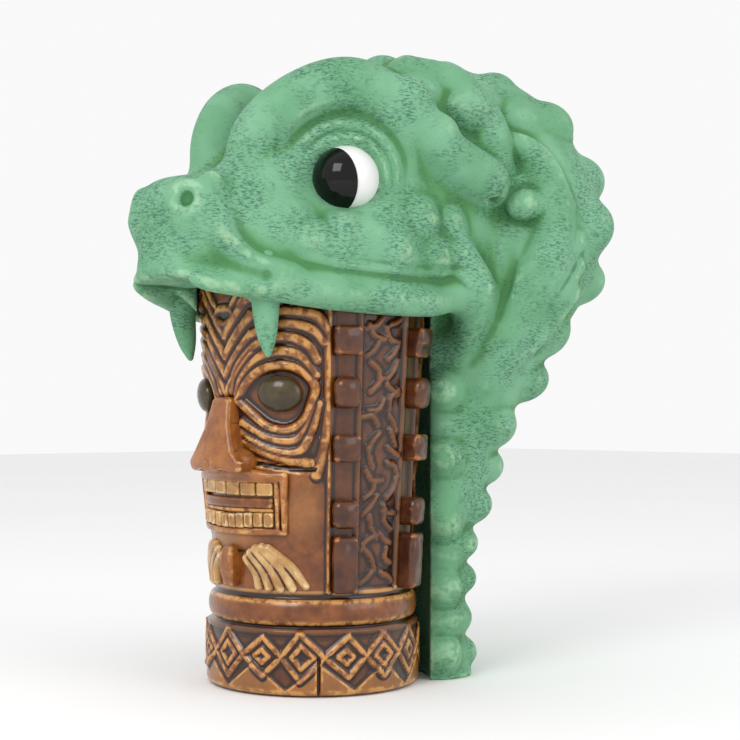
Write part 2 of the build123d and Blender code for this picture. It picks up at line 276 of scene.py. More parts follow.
def read(items, name, width, kind=np.float32):
    """A mesh property of every item as one array."""
    out = np.empty(len(items) * width, kind)
    items.foreach_get(name, out)
    return out.reshape(-1, width)


def hollows(mesh, rounds, scale):
    """How far each vertex lies in a hollow (up to 1) or on a ridge (down to -1), finely and broadly.

    Both arguments are pairs, fine then broad: rounds of averaging, and the millimetres that count as 1.
    """
    places = read(mesh.vertices, "co", 3).astype(float) / METRE
    normals = read(mesh.vertex_normals, "vector", 3)
    edges = read(mesh.edges, "vertices", 2, np.int32).T
    fine = relaxed(edges, places, rounds[0])
    broad = relaxed(edges, fine, rounds[1])
    return {
        name: np.clip(((smooth - places) * normals).sum(axis=1) / limit, -1, 1).astype(np.float32)
        for name, smooth, limit in (("fine", fine, scale[0]), ("broad", broad, scale[1]))
    }


def store(mesh, name, values):
    """Keeps one number for each vertex under a name that a material can read."""
    mesh.attributes.new(name, "FLOAT", "POINT").data.foreach_set("value", values)


def mark_hollows(mesh, rounds, scale):
    """Stores what hollows() finds, for the materials to read."""
    for name, values in hollows(mesh, rounds, scale).items():
        store(mesh, name, values)


CAP_DEPTH = 2.0  # the cut faces start this far under the skin, in millimetres


def borders(quads, labels):
    """The directed edges where the label changes: (start, end, own label, other label) in rows."""
    edges = np.stack([quads, np.roll(quads, -1, axis=1)], axis=2).reshape(-1, 2).astype(np.int64)
    faces = np.repeat(np.arange(len(quads)), 4)
    span = quads.max() + 1
    order = np.argsort(edges[:, 0] * span + edges[:, 1])
    keys = (edges[:, 0] * span + edges[:, 1])[order]
    twin = order[np.searchsorted(keys, edges[:, 1] * span + edges[:, 0])]
    own, other = labels[faces], labels[faces[twin]]
    changes = own != other
    return np.column_stack([edges, own, other])[changes]


def cut_out(skin, quads, keep, normals, marks, name, rims):
    """One piece of a closed surface, shaded exactly like the whole and closed inside.

    Each rim is (directed edges, spine). From its edges the cut dips under the skin, then runs in to
    the spine, a row of points well inside.
    """
    points = list(skin)
    shading = list(normals)
    walls = []
    for edges, spine in rims:
        first_spine = len(points)
        points += list(spine)
        shading += [np.array([0, 0, 1.0])] * len(spine)
        sunk = {}
        for vertex in np.unique(edges):
            sunk[vertex] = len(points)
            points.append(skin[vertex] - CAP_DEPTH * normals[vertex])
            shading.append(normals[vertex])
        nearest = {
            vertex: int(np.argmin(((spine - points[place]) ** 2).sum(axis=1)))
            for vertex, place in sunk.items()
        }
        for start, end in edges:
            walls.append((end, start, sunk[start], sunk[end]))
            step, last = nearest[start], nearest[end]
            walls.append((sunk[end], sunk[start], first_spine + step, first_spine + step))
            while step != last:
                onward = step + (1 if last > step else -1)
                walls.append((sunk[end], first_spine + step, first_spine + onward, first_spine + onward))
                step = onward
    faces = np.vstack([quads[keep], np.array(walls, np.int64)])
    used, renumbered = np.unique(faces, return_inverse=True)
    piece = new_mesh(name, np.array(points)[used], renumbered.reshape(-1, 4))
    for label, values in marks.items():
        full = np.zeros(len(points), np.float32)
        full[:len(values)] = values
        store(piece, label, full[used])
    piece.normals_split_custom_set_from_vertices([Vector(shading[vertex]) for vertex in used])
    return piece


# ---- Material building blocks ----
class Paint:
    """A material under construction: short names for the nodes that the looks below share."""

    def __init__(self, name, roughness, coat=0.0, coat_roughness=0.1, specular=0.5):
        self.material = bpy.data.materials.new(name)
        self.material.use_nodes = True
        self.tree = self.material.node_tree
        self.tree.nodes.clear()
        self.shader = self.node("BsdfPrincipled", {
            "Roughness": roughness, "Coat Weight": coat, "Coat Roughness": coat_roughness,
            "Specular IOR Level": specular,
        })
        self.node("OutputMaterial", {"Surface": self.shader.outputs["BSDF"]})
        self.place = self.node("TexCoord", {}).outputs["Object"]

    def node(self, kind, inputs):
        """A new node with its inputs fed."""
        node = self.tree.nodes.new("ShaderNode" + kind)
        for name, value in inputs.items():
            self.feed(node.inputs[name], value)
        return node

    def feed(self, socket, value):
        """Links an input to another node's socket, or sets it to a plain value."""
        if isinstance(value, bpy.types.NodeSocket):
            self.tree.links.new(value, socket)
        else:
            socket.default_value = value

    def stretched(self, x, y, z):
        """Object coordinates scaled differently along each axis."""
        return self.node("Mapping", {"Vector": self.place, "Scale": (x, y, z)}).outputs["Vector"]

    def noise(self, size, detail=3.0, rough=0.6, place=None):
        """A soft random pattern whose features are about that many millimetres across."""
        return self.node("TexNoise", {
            "Vector": place or self.place, "Scale": 1 / (size * METRE), "Detail": detail, "Roughness": rough,
        }).outputs["Fac"]

    def attribute(self, name):
        """The number that store() kept under that name."""
        node = self.node("Attribute", {})
        node.attribute_name = name
        return node.outputs["Fac"]

    def ramp(self, value, low, high):
        """0 below low, 1 above high and smooth between; low may be the larger, for a falling ramp."""
        first, last = (0, 1) if low < high else (1, 0)
        node = self.node("MapRange", {
            "Value": value, "From Min": min(low, high), "From Max": max(low, high), "To Min": first,
            "To Max": last,
        })
        node.interpolation_type = "SMOOTHSTEP"
        return node.outputs["Result"]

    def math(self, operation, a, b):
        """A sum, product and so on of two sockets or numbers."""
        node = self.node("Math", {0: a, 1: b})
        node.operation = operation
        return node.outputs["Value"]

    def mix(self, amount, below, above):
        """below where amount is 0, above where it is 1; colours are tuples or sockets."""
        node = self.node("Mix", {"Factor": amount})
        node.data_type = "RGBA"
        colour_inputs, colour_result = node.inputs[6:8], node.outputs[2]
        for socket, value in zip(colour_inputs, (below, above)):
            self.feed(socket, (*value, 1) if isinstance(value, tuple) else value)
        return colour_result

    def over(self, colour, above, amount, strength=1.0):
        """The colour with a hex colour laid over it, at that strength where amount is 1."""
        if strength < 1:
            amount = self.math("MULTIPLY", amount, strength)
        return self.mix(amount, colour, srgb(above))

    def finish(self, colour, height=None, strength=0.0, depth=0.0):
        """Connects the colour and an optional bump of so many millimetres."""
        self.feed(self.shader.inputs["Base Color"], colour)
        if height is not None:
            bump = self.node("Bump", {"Height": height, "Strength": strength, "Distance": depth * METRE})
            self.feed(self.shader.inputs["Normal"], bump.outputs["Normal"])
        return self.material


def srgb(text):
    """A hex colour as linear red, green and blue."""
    values = [int(text[start:start + 2], 16) / 255 for start in (0, 2, 4)]
    return tuple(v / 12.92 if v <= 0.04045 else ((v + 0.055) / 1.055) ** 2.4 for v in values)


# ---- Materials ----
def serpent_paint():
    """Matt mint green with painted shade, darker and yellower, in the hollows and creases, dry-brushed with
    dark green, and with a patchy painted highlight on the ridges.
    """
    paint = Paint("serpent_green", roughness=0.62, specular=0.35)
    fine = paint.attribute("fine")
    drift = paint.noise(26, 2.0)
    colour = paint.mix(paint.ramp(drift, 0.35, 0.65), srgb("629A72"), srgb("72A885"))
    # painted shade: darker, yellower green in the broad hollows, and darker still in the fine creases
    colour = paint.over(colour, "4F8A47", paint.ramp(paint.attribute("broad"), 0.0, 0.7))
    colour = paint.over(colour, "3E7548", paint.ramp(fine, 0.15, 0.9), 0.75)
    patches = paint.ramp(paint.noise(20, 3.0), 0.40, 0.60)
    streaks = paint.ramp(paint.noise(1.9, 5.0, 0.75, paint.stretched(1, 1, 3.2)), 0.46, 0.6)
    colour = paint.over(colour, "255443", paint.math("MULTIPLY", patches, streaks), 0.8)
    colour = paint.over(colour, "25523F", paint.ramp(paint.noise(0.8, 2.0, 0.5), 0.66, 0.73), 0.6)
    # painted highlight: pale green on the ridges, broken into patches by noise
    highlight_breakup = paint.ramp(paint.noise(4, 3.0), 0.4, 0.58)
    ridges = paint.math("MULTIPLY", paint.ramp(fine, -0.35, -1.0), highlight_breakup)
    colour = paint.over(colour, "A2C79E", ridges, 0.55)
    return paint.finish(colour, paint.noise(0.9, 4.0), strength=0.25, depth=0.25)


def glaze(name, light, middle, dark, edge):
    """Glossy brown glaze with painted shade in the recesses and a patchy painted highlight on the ridges."""
    paint = Paint(name, roughness=0.3, coat=0.32, coat_roughness=0.07, specular=0.4)
    fine, broad, tone = (paint.attribute(attribute) for attribute in ("fine", "broad", "tone"))
    blotch = paint.ramp(paint.noise(9, 4.0, 0.65), 0.35, 0.68)
    colour = paint.mix(blotch, srgb(middle), srgb(light))
    colour = paint.over(colour, dark, paint.ramp(tone, 0.0, 1.0), 0.8)
    # paler where the tone is negative, which includes the painted highlight on the ledge atop the roll
    colour = paint.over(colour, edge, paint.ramp(tone, 0.0, -1.0), 0.8)
    # painted shade: the dark glaze colour laid into the broad hollows and fine grooves
    colour = paint.over(colour, dark, paint.ramp(broad, 0.02, 0.55))
    colour = paint.over(colour, dark, paint.ramp(fine, 0.05, 0.5))
    # painted highlight: the pale edge colour on the ridges, in patches, kept off the dark panels and straps
    highlight_breakup = paint.ramp(paint.noise(3.2, 4.0, 0.6), 0.38, 0.62)
    highlight_patches = paint.math("MULTIPLY", highlight_breakup, paint.ramp(tone, 0.45, 0.1))
    edges = paint.math("MULTIPLY", paint.ramp(fine, -0.3, -0.95), paint.math("ADD", highlight_patches, 0.08))
    colour = paint.over(colour, edge, paint.math("MINIMUM", edges, 0.85))
    colour = paint.over(colour, edge, paint.ramp(paint.noise(0.7, 3.0), 0.68, 0.76), 0.2)
    return paint.finish(colour, paint.noise(2.6, 3.0), strength=0.18, depth=0.35)


def plain_gloss(name, main, other, size, roughness, coat, specular=0.5):
    """A nearly even glossy coat with a faint drift of tone."""
    paint = Paint(name, roughness=roughness, coat=coat, specular=specular)
    return paint.finish(paint.mix(paint.ramp(paint.noise(size, 2.0), 0.3, 0.7), srgb(main), srgb(other)))


green = serpent_paint()
# Glazes: light, middle and dark tone, and the pale colour of the painted highlight on the edges.
brown = glaze("glaze_brown", "84491A", "5F2F0E", "240E04", "CB9450")
tan = glaze("glaze_tan", "A1632A", "7C4217", "341506", "D6A463")
cream = glaze("glaze_cream", "CBA46C", "A2763F", "42220E", "EACFA0")
umber = glaze("glaze_umber", "5A2E12", "3C1B09", "170803", "A8662C")
bone = glaze("glaze_bone", "B98A4C", "936330", "3A1908", "E2C088")
olive = plain_gloss("glaze_olive", "382E1A", "4A3E25", size=6, roughness=0.2, coat=0.3, specular=0.3)
eye_white = plain_gloss("eye_white", "E4E4E2", "DDDDDD", size=14, roughness=0.35, coat=0.2)
eye_black = plain_gloss("eye_black", "040504", "070908", size=10, roughness=0.05, coat=0.35, specular=0.1)

# ---- Serpent: the clay ----
STEP = 0.8  # the clay's grid, in millimetres
eye_low, eye_high = cad("eyeball_left")
EYE = (eye_low + eye_high) / 2
EYE_RADIUS = (eye_high[2] - eye_low[2]) / 2
EYE_TURN = math.radians(50)  # the left eye faces this far to its side of straight ahead
OUTWARD = np.array([math.sin(EYE_TURN), -math.cos(EYE_TURN), 0.0])
MUG_CLEARANCE = 44.9  # radius of the pocket that the tumbler stands in
PALATE = cad("tumbler")[1][2] + 0.4  # the pocket's roof, just above the rim
NECK = cad("serpent_trunk")[1][2]  # where the trunk ends and the hood starts

clay = Clay((-3 * STEP, -84, -3 * STEP), (76, 128, 246), STEP)
head_rows = (
    # y, middle height, half width, half height
    (-76, 164, 5, 6), (-74.5, 164, 13, 14), (-70, 165, 18, 19), (-61, 165.5, 22, 21),
    (-49, 166, 25.5, 23.5), (-36, 168, 30, 31), (-20, 173, 36, 42), (-2, 179, 42, 50),
    (20, 183, 45, 54), (44, 184, 46, 55), (66, 184, 44, 53), (84, 186, 38, 44), (96, 188, 26, 30),
)
hood_rows = (
    # z, middle depth, half width, half thickness
    (60, 46, 35, 18), (78, 50, 37, 21), (104, 57, 44, 27), (130, 67, 54, 34), (150, 77, 61, 36),
    (172, 83, 65, 36), (188, 85, 61, 35), (205, 83, 53, 33), (221, 79, 44, 28), (232, 73, 34, 22),
    (239, 66, 18, 12),
)
trunk_rows = (
    (-3, 44, 36, 18), (0, 44, 36, 18), (12, 43.5, 33, 17), (40, 43.5, 33, 17), (62, 46, 35, 18),
    (80, 50, 37, 21),
)
clay.add(stack(trunk_rows, power=2.5))
clay.add(stack(hood_rows, power=2.3), blend=4)
clay.add(stack(head_rows, power=2.5, upright=False), blend=6)
jaw = ball((0, 0, 158), (51, 51, 34))
clay.add(jaw, blend=10)

lip = smooth_path((
    (15, -68, 150, 5), (23, -57, 148, 5.5), (31, -44, 146.5, 6), (40, -28, 144, 6), (46.5, -10, 142.5, 5.8),
    (48.5, 8, 142, 5.6), (46, 22, 143, 5.4), (44, 32, 146, 5),
))
clay.add(tube(lip), 5)
jaw_band = smooth_path(((45, 32, 160, 8), (46, 41, 146, 9), (43, 46, 130, 8), (36, 52, 112, 5)))
clay.add(tube(jaw_band), 8)
ORBIT_RADIUS = 31
orbit_centre = EYE + ORBIT_RADIUS * OUTWARD + np.array([0, 0, 4])
clay.carve(ball(orbit_centre, (ORBIT_RADIUS, ORBIT_RADIUS, 25)), 9)
brow = smooth_path((
    (10, -43, 187, 6), (13, -36, 203, 9.5), (22, -23, 216, 10), (31, -7, 221, 10), (40, 9, 212, 10),
    (46, 24, 198, 9.5), (49, 42, 190, 9), (50, 58, 188, 7),
), steps=12)
clay.add(tube(brow), 6)
dish = smooth_path(((56, 55, 192, 3), (65, 56, 178, 6), (67, 54, 160, 7), (60, 49, 140, 6), (48, 42, 120, 4)))
clay.carve(tube(dish), 8)
clay.soften(3)

# ---- Serpent: cheeks, muzzle and ear ----
cheek_lumps = (
    (28, -31, 170, 6), (34, -30, 162, 8), (38, -18, 166, 7.5), (42, -9, 163, 8.5), (45, 0, 159, 9),
    (42, 14, 172, 9), (42, 29, 171, 8), (43, 20, 159, 9), (40, 2, 171, 6),
)
for x, y, z, size in cheek_lumps:
    clay.add(ball((x, y, z), size), 3)
muzzle_ridge = smooth_path((
    (17, -60, 183, 3), (20, -61, 172, 3.5), (23, -58, 161, 4), (27, -50, 153, 4), (34, -40, 149, 4),
))
clay.add(tube(muzzle_ridge), 5)
scoop = smooth_path((
    (-6, -83, 159, 7), (8, -83, 159, 7.5), (20, -74, 157, 7), (28, -62, 153, 5), (34, -50, 150, 2.5),
))
clay.carve(tube(scoop), 6)
nostril = np.array([15.5, -69.5, 175.5])
nostril_facing = np.array([0.62, -0.75, 0.2])
clay.add(tube(ring(nostril - 0.6 * nostril_facing, nostril_facing, 4.4, 2.4)), 5)
clay.carve(ball(nostril + 1.8 * nostril_facing, (2.4, 2.4, 3.0)), 2.5)
ear_hole = ball((57, 58, 181), 7)
ear_knob = ball((54, 60, 181), (6.5, 7, 6))
clay.carve(ear_hole, 5)
clay.add(ear_knob, 2.5)

# ---- Serpent: folds of the hood ----
folds = (
    ((46, 50, 140, 3), (54, 59, 153, 4), (59, 68, 168, 4), (60, 75, 182, 3)),
    ((46, 50, 128, 3), (54, 60, 141, 4), (61, 71, 156, 4), (63, 79, 168, 3)),
    ((38, 45, 115, 3), (50, 57, 129, 4), (59, 72, 146, 4), (63, 80, 158, 3)),
    ((31, 44, 103, 3), (44, 54, 116, 4), (55, 68, 133, 4), (61, 80, 148, 3)),
)
for fold in folds:
    clay.add(tube(smooth_path(fold)), 3)
crease = smooth_path((
    (52, 40, 187, 1.0), (51, 50, 178, 2.0), (52, 54, 164, 2.4), (52, 53, 150, 2.2), (52, 49, 138, 1.2),
))
clay.carve(tube(crease), 2.5)

# ---- Serpent: lumps over the crown and down the back ----
hood_edge = smooth_path((
    (42, 54, 204, 2), (48, 63, 205, 4.5), (56, 69, 195, 6), (61, 70, 177, 6.5), (59, 66, 156, 6),
    (52, 57, 136, 5), (43, 49, 114, 3),
))
clay.add(tube(hood_edge), 5)
crown_lobe = smooth_path(((25, 26, 230, 8), (34, 40, 224, 10), (41, 50, 210, 10), (45, 52, 196, 8)))
clay.add(tube(crown_lobe), 3)
temple_lump = ball((50, 20, 204), (5, 7, 7))
clay.add(temple_lump, 2)

LUMP_PITCH = 14.5  # between rows of lumps up the trunk
LUMP_GROWTH = 5.5  # how much further apart the rows get over the hood
NARROW_BELOW = 80  # the trunk's rows have their lumps further apart and reach further round it
back_rows = []
level, pitch = 8.0, LUMP_PITCH
while level < 222:
    back_rows.append((level, pitch))
    level += pitch
    pitch = LUMP_PITCH + LUMP_GROWTH * min(1.0, max(0.0, level - 60) / 60)
back_middle = smooth_path(trunk_rows[:-1] + hood_rows[1:])
for index, (level, pitch) in enumerate(back_rows):
    middle_y = np.interp(level, back_middle[:, 0], back_middle[:, 1])
    spread, furthest = (34, 120) if level < NARROW_BELOW else (27, 85)
    for angle in ((count + 0.5 * (index % 2)) * spread for count in range(4)):
        if angle >= furthest:
            break
        turn = math.radians(angle)
        outwards = np.array([math.sin(turn), math.cos(turn), 0.0])
        wobble = 0.06 * math.sin(2.7 * index + angle)
        place = clay.reach((0, middle_y, level), outwards) - (0.44 + wobble) * pitch * outwards
        clay.add(ball(place, (0.7 * pitch, 0.7 * pitch, (0.56 + wobble) * pitch)), 2.5)

TRUNK_EDGE = 50  # from the tumbler's axis to the lumps down the trunk's front edge
for index, level in enumerate(np.arange(10, 122, 12.5)):
    turn = math.radians(139 + 4 * (index % 2))
    place = (TRUNK_EDGE * math.sin(turn), -TRUNK_EDGE * math.cos(turn), level)
    clay.add(ball(place, (7.2, 7.2, 7.0)), 4)

CROWN_MIDDLE = 190  # rays from this height find the crown
for index, depth in enumerate((10, 26, 42, 58, 74)):
    for angle in ((0, 32, 58) if index % 2 == 0 else (16, 45)):
        turn = math.radians(angle)
        outwards = np.array([math.sin(turn), 0.0, math.cos(turn)])
        place = clay.reach((0, depth, CROWN_MIDDLE), outwards) - 6 * outwards
        clay.add(ball(place, (9, 11, 9)), 2.5)


# ---- Serpent: wrinkles ----
EYE_RINGS = (
    # radius, width, height, how far its middle is above the eye's
    (14.8, 1.2, 0.9, 0.5), (19.0, 1.7, 0.8, 1.5), (24.5, 2.2, 0.8, 3.0),
)
LIP_GROOVES = (
    # depth, distance from the lip, width
    (0.6, 2.6, 1.1), (0.5, 7.0, 1.3),
)


def eye_wrinkles(x, y, z):
    """Raised rings round the eye, fading under it."""
    rings = 0
    for radius, width, height, rise in EYE_RINGS:
        dx, dy, dz = x - EYE[0], y - EYE[1], z - EYE[2] - rise
        along = dx * OUTWARD[0] + dy * OUTWARD[1]
        out = np.sqrt(np.maximum(dx * dx + dy * dy + dz * dz - along * along, 0))
        fade = np.clip((dz + 8 + 0.4 * y) / 9, 0, 1) * np.clip((along + 22) / 8, 0, 1)
        rings = rings + height * fade * np.exp(-((out - radius) / width) ** 2)
    return rings


clay.shift(EYE - 30, EYE + 30, eye_wrinkles)
lip_distance = tube(lip)[0]


def lip_grooves(x, y, z):
    """Grooves that follow the lip back to the corner of the mouth."""
    out = lip_distance(x, y, z)
    grooves = sum(-depth * np.exp(-((out - gap) / width) ** 2) for depth, gap, width in LIP_GROOVES)
    return grooves * np.clip((y + 42) / 20, 0, 1) * np.clip((z - 144) / 4, 0, 1)


clay.shift(np.array([24, -44, 142]), np.array([62, 40, 172]), lip_grooves)

# ---- Serpent: cut into pieces and meshed ----
clay.soften(1)


def mug_pocket(x, y, z):
    """The space that the tumbler stands in."""
    return np.maximum(np.sqrt(x * x + y * y) - MUG_CLEARANCE, z - PALATE)


def snout_hollow(x, y, z):
    """The hollow behind the lip, ahead of the tumbler."""
    return np.maximum(z - 148, np.maximum(np.abs(x) - 16, y + 40))


SEAT = 0.3  # the eyeball is sunk this far into its socket
clay.carve((mug_pocket, np.array([-60, -60, -5]), np.array([60, 60, PALATE])))
clay.carve(below(2, 0, (-90, -90, -5), (90, 130, 0)))
clay.carve((snout_hollow, np.array([-20, -90, 100]), np.array([20, -40, 148])), 3)
clay.carve(ball(EYE, EYE_RADIUS - SEAT))

# The grid holds the left half only, with x = 0 on its mirror plane.
middle = int(np.argmin(np.abs(clay.axes[0])))
whole = np.concatenate([clay.field[:middle:-1], clay.field[middle:]], axis=0)
skin, quads = surface(whole, (-clay.axes[0][-1], clay.axes[1][0], clay.axes[2][0]), STEP)
whole_mesh = new_mesh("serpent_whole", skin, quads)
skin_normals = read(whole_mesh.vertex_normals, "vector", 3)
skin_marks = hollows(whole_mesh, rounds=(6, 60), scale=(0.12, 1.2))
bpy.data.meshes.remove(whole_mesh)

centres = skin[quads].mean(axis=1)
NAPE = (0, 66, 180)  # a point well inside the cut between head and hood
NAPE_LEAN = 0.45  # how far back that cut leans for each millimetre up
BROW_SKIRT = 1.0  # the brow's piece reaches this far round its ridge
brow_zone = tube(brow + np.array([0, 0, 0, BROW_SKIRT]))[0]
in_trunk = centres[:, 2] < NECK
in_head = ~in_trunk & (centres[:, 1] < NAPE[1] + NAPE_LEAN * (centres[:, 2] - NAPE[2]))
in_brow = in_head & (brow_zone(np.abs(centres[:, 0]), centres[:, 1], centres[:, 2]) < 0)
TRUNK, HEAD, HOOD, BROW_LEFT, BROW_RIGHT = range(5)
labels = np.full(len(quads), HOOD)
labels[in_trunk] = TRUNK
labels[in_head] = HEAD
labels[in_brow & (centres[:, 0] > 0)] = BROW_LEFT
labels[in_brow & (centres[:, 0] < 0)] = BROW_RIGHT
spines = {
    (TRUNK, HOOD): np.array([[0, 58, NECK]]),
    (HEAD, HOOD): np.array([NAPE]),
    (HEAD, BROW_LEFT): brow[::2, :3],
    (HEAD, BROW_RIGHT): brow[::2, :3] * (-1, 1, 1),
}
changes = borders(quads, labels)
piece_nodes = ("serpent_trunk", "serpent_head", "serpent_hood", "brow_left", "brow_right")
for label, node in enumerate(piece_nodes):
    rims = []
    for pair, spine in spines.items():
        if label in pair:
            other = pair[0] if pair[1] == label else pair[1]
            chosen = (changes[:, 2] == label) & (changes[:, 3] == other)
            rims.append((changes[chosen, :2], spine))
    mesh = cut_out(skin, quads, labels == label, skin_normals, skin_marks, node + "_sculpt", rims)
    place_mesh(mesh, SERPENT, node, green)

# ---- Tumbler: wall space ----
# Places on the wall are (s, proud, z): s runs round it towards +X as arc length at WALL_GAUGE, and proud
# points outwards.
WALL_GAUGE = 40.0
DEGREE = math.radians(WALL_GAUGE)  # arc length of one degree
RIM = cad("tumbler")[1][2]
WALL_START, WALL_LOW, WALL_HIGH = 36.4, 37.0, 43.0  # its lowest z, and its radius there and at the rim
WALL_THICKNESS = 4.5
MUG_FLOOR = 8.0
BAND_TOP, BAND_RADIUS, FOOT_ROUNDING = 24, 40, 3
ROLL_MIDDLE, ROLL_HALF_HEIGHT, ROLL_BULGE = 30.2, 5, 2.6
RIM_ROUNDING = 2


def wall_radius(z):
    """The plain outside radius above the roll."""
    return WALL_LOW + (z - WALL_START) / (RIM - WALL_START) * (WALL_HIGH - WALL_LOW)


def outside_radius(z):
    """The whole plain outside: band, groove, roll and wall."""
    into_foot = np.clip(FOOT_ROUNDING - z, 0, FOOT_ROUNDING)
    band = BAND_RADIUS - FOOT_ROUNDING + np.sqrt(FOOT_ROUNDING ** 2 - into_foot ** 2)
    swell = np.sqrt(np.clip(1 - ((z - ROLL_MIDDLE) / ROLL_HALF_HEIGHT) ** 2, 0, 1))
    into_rim = np.clip(z - RIM + RIM_ROUNDING, 0, RIM_ROUNDING)
    wall = wall_radius(z) - RIM_ROUNDING + np.sqrt(RIM_ROUNDING ** 2 - into_rim ** 2)
    return np.where(z < BAND_TOP, band, np.where(z < WALL_START, WALL_LOW + ROLL_BULGE * swell, wall))


def bead(s, z, lines, half_width, steps=5):
    """The swelling profile of ridges laid along lines of (angle, z): 1 on a line, 0 beyond the half width."""
    nearest = np.full(np.broadcast(s, z).shape, FAR)
    for line in lines:
        rows = smooth_path(line, steps) * (DEGREE, 1)
        for start, end in zip(rows[:-1], rows[1:]):
            run = end - start
            share = np.clip(((s - start[0]) * run[0] + (z - start[1]) * run[1]) / max(run @ run, 1e-9), 0, 1)
            gap = np.hypot(s - start[0] - share * run[0], z - start[1] - share * run[1])
            nearest = np.minimum(nearest, gap)
    return np.clip(1 - (nearest / half_width) ** 2, 0, 1)


def between(value, low, high, blend):
    """1 between low and high, falling to 0 outside over the blend."""
    return np.clip((value - low) / blend + 0.5, 0, 1) * np.clip((high - value) / blend + 0.5, 0, 1)


def oval(s, z, middle, half):
    """A soft patch round (angle, z): 1 at its middle, 0 beyond its half width and half height."""
    return np.clip(1 - ((s - middle[0] * DEGREE) / half[0]) ** 2 - ((z - middle[1]) / half[1]) ** 2, 0, 1)


# ---- Tumbler: the carved lines, as rows of (angle, z) on its left half ----
STRAPS = ((59, 74.5), (105.5, 121))  # the angles at both edges of each upright strap
PANELS = ((74.5, 105.5), (121, 181))  # and of each scratched panel; the second runs on round the back
lid = ((
    (7.8, 106.4), (14, 112.6), (23.5, 117.3), (35.8, 118.9), (45.3, 116.5), (51, 111.7), (50.1, 106.3),
    (45.2, 98.8), (37.3, 95.7), (27, 96.7), (18.2, 100.9), (11, 105), (7.8, 106.4),
),)
brow_arcs = (
    ((8.0, 108.5), (11.7, 114.7), (21.4, 121.4), (33.9, 123.7), (44.4, 121.9), (51, 115.1)),
    ((4.5, 110), (8.5, 118.0), (19.4, 125.6), (30.1, 128.8), (39.8, 128.7), (48.2, 125.3), (51.9, 120.6)),
    ((18.5, 129.7), (30.2, 132.9), (39.8, 133.5), (50.1, 131.4), (56.6, 126.7)),
    ((24, 136.2), (38, 137.9), (51.9, 136.1), (57.5, 130.1)),
)
face_border = (((57.5, 130.1), (58.7, 111.7), (56.9, 91.3), (52.1, 79.7)),)
under_eye = (
    ((10.6, 98.1), (20.2, 94.7), (33.2, 92), (43.2, 93.4), (50.1, 103.6)),
    ((10.4, 95), (24.6, 89.4), (41.2, 87.4), (48.6, 94), (53.4, 104.9)),
    ((12.7, 91.2), (30, 86.4), (49.1, 83.8)),
)
chevrons = tuple(
    ((0, tip), (9, tip + 7.5), (18, tip + 14.3)) for tip in (109.3, 115.6, 122.6, 130.0)
)
forehead = (
    ((0, 134), (5, 135.2), (7, 137.6), (4, 139.6), (0, 139.8)),
    ((5.3, 139.5), (14.8, 148)),
    ((9.5, 139.0), (20, 147.5)),
)
flutes = tuple(((angle, 141), (angle + 1, 148.5)) for angle in (26, 33, 40, 47, 54))
cheek_slit = (((16.1, 84.0), (35, 82.0), (51.1, 81.6)),)
strap_borders = tuple(((angle, 38), (angle, 148)) for strap in STRAPS for angle in strap)


def scribbled(first, last, seed):
    """Curved strokes scattered up a panel between two angles, as if scratched freehand."""
    chance = np.random.default_rng(seed)
    lines = []
    for level in np.arange(43, 146, 6.2):
        for share in (0.27, 0.73):
            angle = first + (last - first) * (share + chance.uniform(-0.08, 0.08))
            z = level + chance.uniform(-1.5, 1.5)
            slant = math.radians(chance.choice((35, 55, 120, 150)) + chance.uniform(-12, 12))
            length = chance.uniform(3.2, 4.8)
            bend = chance.uniform(-2.2, 2.2)
            run, rise = length * math.cos(slant) / DEGREE, length * math.sin(slant)
            middle = (angle - bend * math.sin(slant) / DEGREE, z + bend * math.cos(slant))
            lines.append(((angle - run, z - rise), middle, (angle + run, z + rise)))
    return tuple(lines)


strokes = scribbled(75, 105, seed=3) + scribbled(122, 150, seed=5) + scribbled(150, 178, seed=8)

DIAMOND_PITCH = 22.5  # degrees
DIAMOND_MIDDLE = 14.5
DIAMOND_REACH = 7.6
LATTICE_TOP = 23.6
lattice = []
for index, place in enumerate(np.arange(0, 181, DIAMOND_PITCH)):
    lean = 1.6 * math.sin(2.4 * index)
    rise = 0.8 * math.sin(3.7 * index + 1)
    inner = 0.5 if index % 2 == 0 else 0.34
    for share in (1.0, inner):
        half, reach = share * DIAMOND_PITCH / 2, share * (DIAMOND_REACH + rise)
        for side in (-1, 1):
            lattice.append((
                (place - half, DIAMOND_MIDDLE), (place + lean * share, DIAMOND_MIDDLE + side * reach),
                (place + half, DIAMOND_MIDDLE),
            ))
band_slit = (((53.2, 0), (53.2, 13.6)),)
RIDGES = (
    # lines, half width, height
    (lid, 2.2, 1.7), (brow_arcs, 2.5, 1.5), (face_border, 2.4, 1.3), (under_eye, 2.2, 1.4),
    (chevrons, 2.5, 1.5), (forehead, 1.6, 1.3), (flutes, 1.9, 1.1), (strap_borders, 1.3, 1.1),
    (strokes, 1.35, 1.1),
)
HILL_PITCH, HILL_LOW, HILL_RISE = 36, 3.0, 9.5  # the zigzag round the foot: degrees, then millimetres


